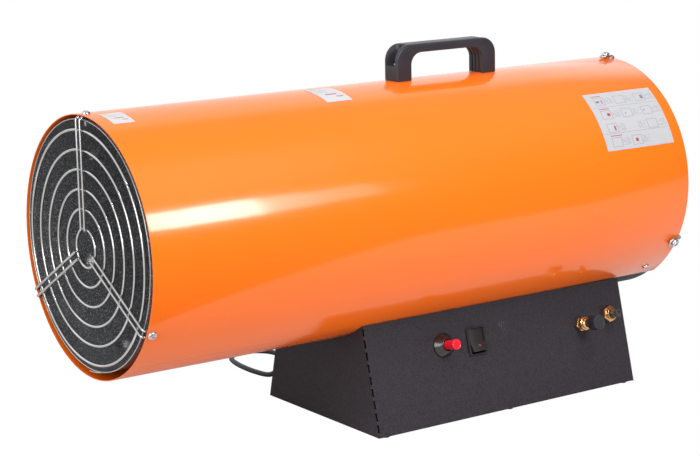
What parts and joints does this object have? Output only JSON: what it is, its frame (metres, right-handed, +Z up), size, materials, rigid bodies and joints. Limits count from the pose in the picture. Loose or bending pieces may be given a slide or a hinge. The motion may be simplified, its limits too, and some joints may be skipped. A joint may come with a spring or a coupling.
{
  "type": "gas forced air heater",
  "caption": "Portable gas forced air heater: a tube with a fan at its intake and a burner in a chamber at its grilled outlet, on a folded sheet base with controls.",
  "frame": {"origin": "on the floor, under the middle of the tube", "axes": "+Z up; +X along the tube from its outlet to its intake; -Y towards the control panel"},
  "size_m": [0.7088, 0.4215, 0.4031],
  "materials": {
    "orange_paint": "gloss orange paint",
    "dark_paint": "fine-textured dark grey powder coat",
    "chamber_steel": "dark heat-resistant sheet steel, finely speckled",
    "grille_wire": "bright plated wire",
    "zinc": "zinc-plated steel",
    "black_plastic": "black moulded plastic",
    "label_film": "white sticker film",
    "motor_body": "cast motor body",
    "fan_sheet": "pressed sheet",
    "plain_steel": "zinc-plated sheet steel",
    "burner_steel": "heat-tinted sheet steel",
    "copper": "drawn copper tube",
    "valve_brass": "turned brass",
    "black_rubber": "black rubber",
    "ceramic": "glazed ceramic",
    "thermostat_case": "pressed case",
    "gloss_black": "gloss black plastic",
    "red_plastic": "bright red plastic",
    "dark_metal": "blackened metal",
    "ivory_plastic": "ivory terminal plastic"
  },
  "bodies": {
    "root": {"outer_casing": "orange_paint", "casing_cover": "dark_paint", "cover_screws": "zinc", "combustion_chamber": "chamber_steel", "front_grille": "grille_wire", "grille_screws": "zinc", "rear_guard": "grille_wire", "guard_screws": "zinc", "handle": "black_plastic", "handle_screws": "zinc", "hex_nuts": "zinc", "instruction_label": "label_film", "small_labels": "label_film", "motor": "motor_body", "motor_bracket": "plain_steel", "motor_screws": "zinc", "burner_plate": "burner_steel", "burner_cup": "burner_steel", "flame_spreader": "burner_steel", "gas_nozzle": "valve_brass", "gas_pipe": "copper", "pipe_grommet": "black_rubber", "igniter_insulator": "ceramic", "igniter_rod": "burner_steel", "thermocouple": "copper", "limit_thermostat": "thermostat_case", "control_panel": "dark_paint", "back_panel": "dark_paint", "corner_screws": "dark_paint", "base_plate": "dark_paint", "base_screws": "zinc", "base_feet": "black_rubber", "saddle_straps": "plain_steel", "saddle_bolts": "zinc", "piezo_bezel": "gloss_black", "piezo_nut": "black_plastic", "switch_frame": "black_plastic", "regulator_valve": "valve_brass", "safety_valve": "valve_brass", "valve_link_pipe": "copper", "inlet_pipe": "copper", "gas_inlet": "valve_brass", "terminal_block": "ivory_plastic", "cord_gland": "black_plastic", "power_cord": "black_rubber", "cord_coil": "black_rubber", "cord_tail": "black_rubber", "plug": "black_plastic"},
    "fan": {"fan_wheel": "fan_sheet", "motor_shaft": "zinc"},
    "button": {"piezo_button": "red_plastic"},
    "rocker": {"switch_rocker": "black_plastic"},
    "knob": {"regulator_knob": "dark_metal", "regulator_spindle": "zinc"},
    "pin": {"safety_pin": "dark_metal"}
  },
  "joints": [
    {"name": "fan_spin", "type": "hinge", "parent": "root", "child": "fan", "pos_m": [0.23395, 0, 0.22884], "axis": [1, 0, 0], "continuous": true},
    {"name": "igniter_press", "type": "slide", "parent": "root", "child": "button", "axis": [0, 0.9703, -0.2417], "range_m": [0, 0.007], "stiffness_N_per_m": 500, "springref_m": -0.006},
    {"name": "switch_tip", "type": "hinge", "parent": "root", "child": "rocker", "pos_m": [0.0765, -0.08678, 0.08024], "axis": [1, 0, 0], "range_deg": [0, 24]},
    {"name": "regulator_turn", "type": "hinge", "parent": "root", "child": "knob", "pos_m": [0.226, -0.08888, 0.07592], "axis": [0, -0.9703, 0.2417], "range_deg": [0, 300]},
    {"name": "safety_press", "type": "slide", "parent": "root", "child": "pin", "axis": [0, 0.9703, -0.2417], "range_m": [0, 0.005], "stiffness_N_per_m": 800, "springref_m": -0.006}
  ]
}
